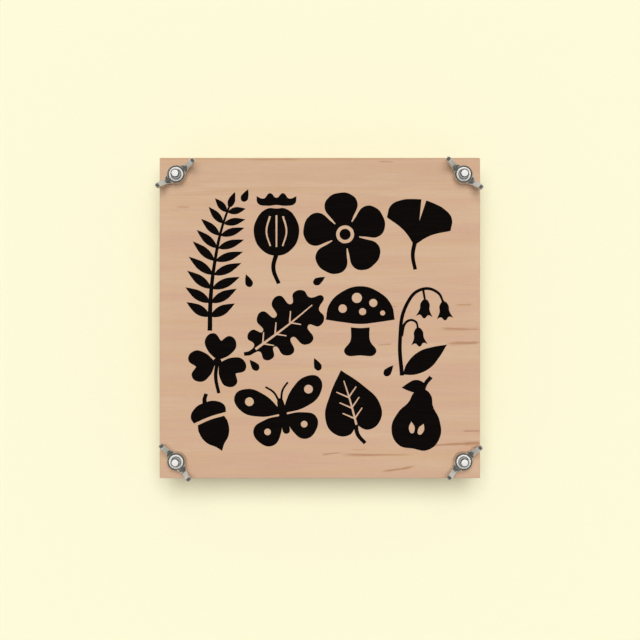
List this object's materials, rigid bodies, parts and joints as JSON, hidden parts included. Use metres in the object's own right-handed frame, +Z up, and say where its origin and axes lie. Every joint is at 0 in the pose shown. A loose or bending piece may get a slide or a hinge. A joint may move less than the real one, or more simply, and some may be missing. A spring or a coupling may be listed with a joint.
{
  "type": "flower press",
  "caption": "Square wooden flower press: two boards clamp a stack of corrugated cards and blotting paper between carriage bolts with wing nuts at the corners.",
  "frame": {"origin": "centre of the bottom board's underside, which is the face that the press stands on", "axes": "+Z up through the stack and along the bolts, +Y towards the back of the press (the top edge of the picture), +X to its right"},
  "size_m": [0.2055, 0.2041, 0.0548],
  "materials": {
    "maple_board": "satin",
    "bolt_steel": "satin",
    "wing_nut_steel": "satin",
    "kraft_card": "matte",
    "blotting_paper": "matte",
    "black_ink": "matte"
  },
  "bodies": {
    "base": {"bottom_board": "maple_board", "bolt_back_left": "bolt_steel", "bolt_back_right": "bolt_steel", "bolt_front_left": "bolt_steel", "bolt_front_right": "bolt_steel"},
    "cardboard_1": {"cardboard_1": "kraft_card"},
    "blotter_1": {"blotter_1": "blotting_paper"},
    "blotter_2": {"blotter_2": "blotting_paper"},
    "cardboard_2": {"cardboard_2": "kraft_card"},
    "blotter_3": {"blotter_3": "blotting_paper"},
    "blotter_4": {"blotter_4": "blotting_paper"},
    "cardboard_3": {"cardboard_3": "kraft_card"},
    "blotter_5": {"blotter_5": "blotting_paper"},
    "blotter_6": {"blotter_6": "blotting_paper"},
    "cardboard_4": {"cardboard_4": "kraft_card"},
    "blotter_7": {"blotter_7": "blotting_paper"},
    "blotter_8": {"blotter_8": "blotting_paper"},
    "cardboard_5": {"cardboard_5": "kraft_card"},
    "top_board": {"top_board": "maple_board"},
    "wing_nut_back_left": {"wing_nut_back_left": "wing_nut_steel"},
    "wing_nut_back_right": {"wing_nut_back_right": "wing_nut_steel"},
    "wing_nut_front_left": {"wing_nut_front_left": "wing_nut_steel"},
    "wing_nut_front_right": {"wing_nut_front_right": "wing_nut_steel"}
  },
  "joints": [
    {"name": "cardboard_1_lift", "type": "slide", "parent": "base", "child": "cardboard_1", "axis": [0, 0, 1], "range_m": [0, 0.025]},
    {"name": "blotter_1_lift", "type": "slide", "parent": "cardboard_1", "child": "blotter_1", "axis": [0, 0, 1], "range_m": [0, 0.025]},
    {"name": "blotter_2_lift", "type": "slide", "parent": "blotter_1", "child": "blotter_2", "axis": [0, 0, 1], "range_m": [0, 0.025]},
    {"name": "cardboard_2_lift", "type": "slide", "parent": "blotter_2", "child": "cardboard_2", "axis": [0, 0, 1], "range_m": [0, 0.025]},
    {"name": "blotter_3_lift", "type": "slide", "parent": "cardboard_2", "child": "blotter_3", "axis": [0, 0, 1], "range_m": [0, 0.025]},
    {"name": "blotter_4_lift", "type": "slide", "parent": "blotter_3", "child": "blotter_4", "axis": [0, 0, 1], "range_m": [0, 0.025]},
    {"name": "cardboard_3_lift", "type": "slide", "parent": "blotter_4", "child": "cardboard_3", "axis": [0, 0, 1], "range_m": [0, 0.025]},
    {"name": "blotter_5_lift", "type": "slide", "parent": "cardboard_3", "child": "blotter_5", "axis": [0, 0, 1], "range_m": [0, 0.025]},
    {"name": "blotter_6_lift", "type": "slide", "parent": "blotter_5", "child": "blotter_6", "axis": [0, 0, 1], "range_m": [0, 0.025]},
    {"name": "cardboard_4_lift", "type": "slide", "parent": "blotter_6", "child": "cardboard_4", "axis": [0, 0, 1], "range_m": [0, 0.025]},
    {"name": "blotter_7_lift", "type": "slide", "parent": "cardboard_4", "child": "blotter_7", "axis": [0, 0, 1], "range_m": [0, 0.025]},
    {"name": "blotter_8_lift", "type": "slide", "parent": "blotter_7", "child": "blotter_8", "axis": [0, 0, 1], "range_m": [0, 0.025]},
    {"name": "cardboard_5_lift", "type": "slide", "parent": "blotter_8", "child": "cardboard_5", "axis": [0, 0, 1], "range_m": [0, 0.025]},
    {"name": "top_board_lift", "type": "slide", "parent": "cardboard_5", "child": "top_board", "axis": [0, 0, 1], "range_m": [0, 0.01225]},
    {"name": "wing_nut_back_left_turn", "type": "hinge", "parent": "top_board", "child": "wing_nut_back_left", "pos_m": [-0.0905, 0.0905, 0.0394], "axis": [0, 0, 1], "range_deg": [0, 4410]},
    {"name": "wing_nut_back_right_turn", "type": "hinge", "parent": "top_board", "child": "wing_nut_back_right", "pos_m": [0.0905, 0.0905, 0.0394], "axis": [0, 0, 1], "range_deg": [0, 4410]},
    {"name": "wing_nut_front_left_turn", "type": "hinge", "parent": "top_board", "child": "wing_nut_front_left", "pos_m": [-0.0905, -0.0905, 0.0394], "axis": [0, 0, 1], "range_deg": [0, 4410]},
    {"name": "wing_nut_front_right_turn", "type": "hinge", "parent": "top_board", "child": "wing_nut_front_right", "pos_m": [0.0905, -0.0905, 0.0394], "axis": [0, 0, 1], "range_deg": [0, 4410]}
  ],
  "couplings": [
    {"joint": "wing_nut_back_left_turn", "follows": "top_board_lift", "rad_per_m": 6283.2},
    {"joint": "wing_nut_back_right_turn", "follows": "top_board_lift", "rad_per_m": 6283.2},
    {"joint": "wing_nut_front_left_turn", "follows": "top_board_lift", "rad_per_m": 6283.2},
    {"joint": "wing_nut_front_right_turn", "follows": "top_board_lift", "rad_per_m": 6283.2}
  ]
}
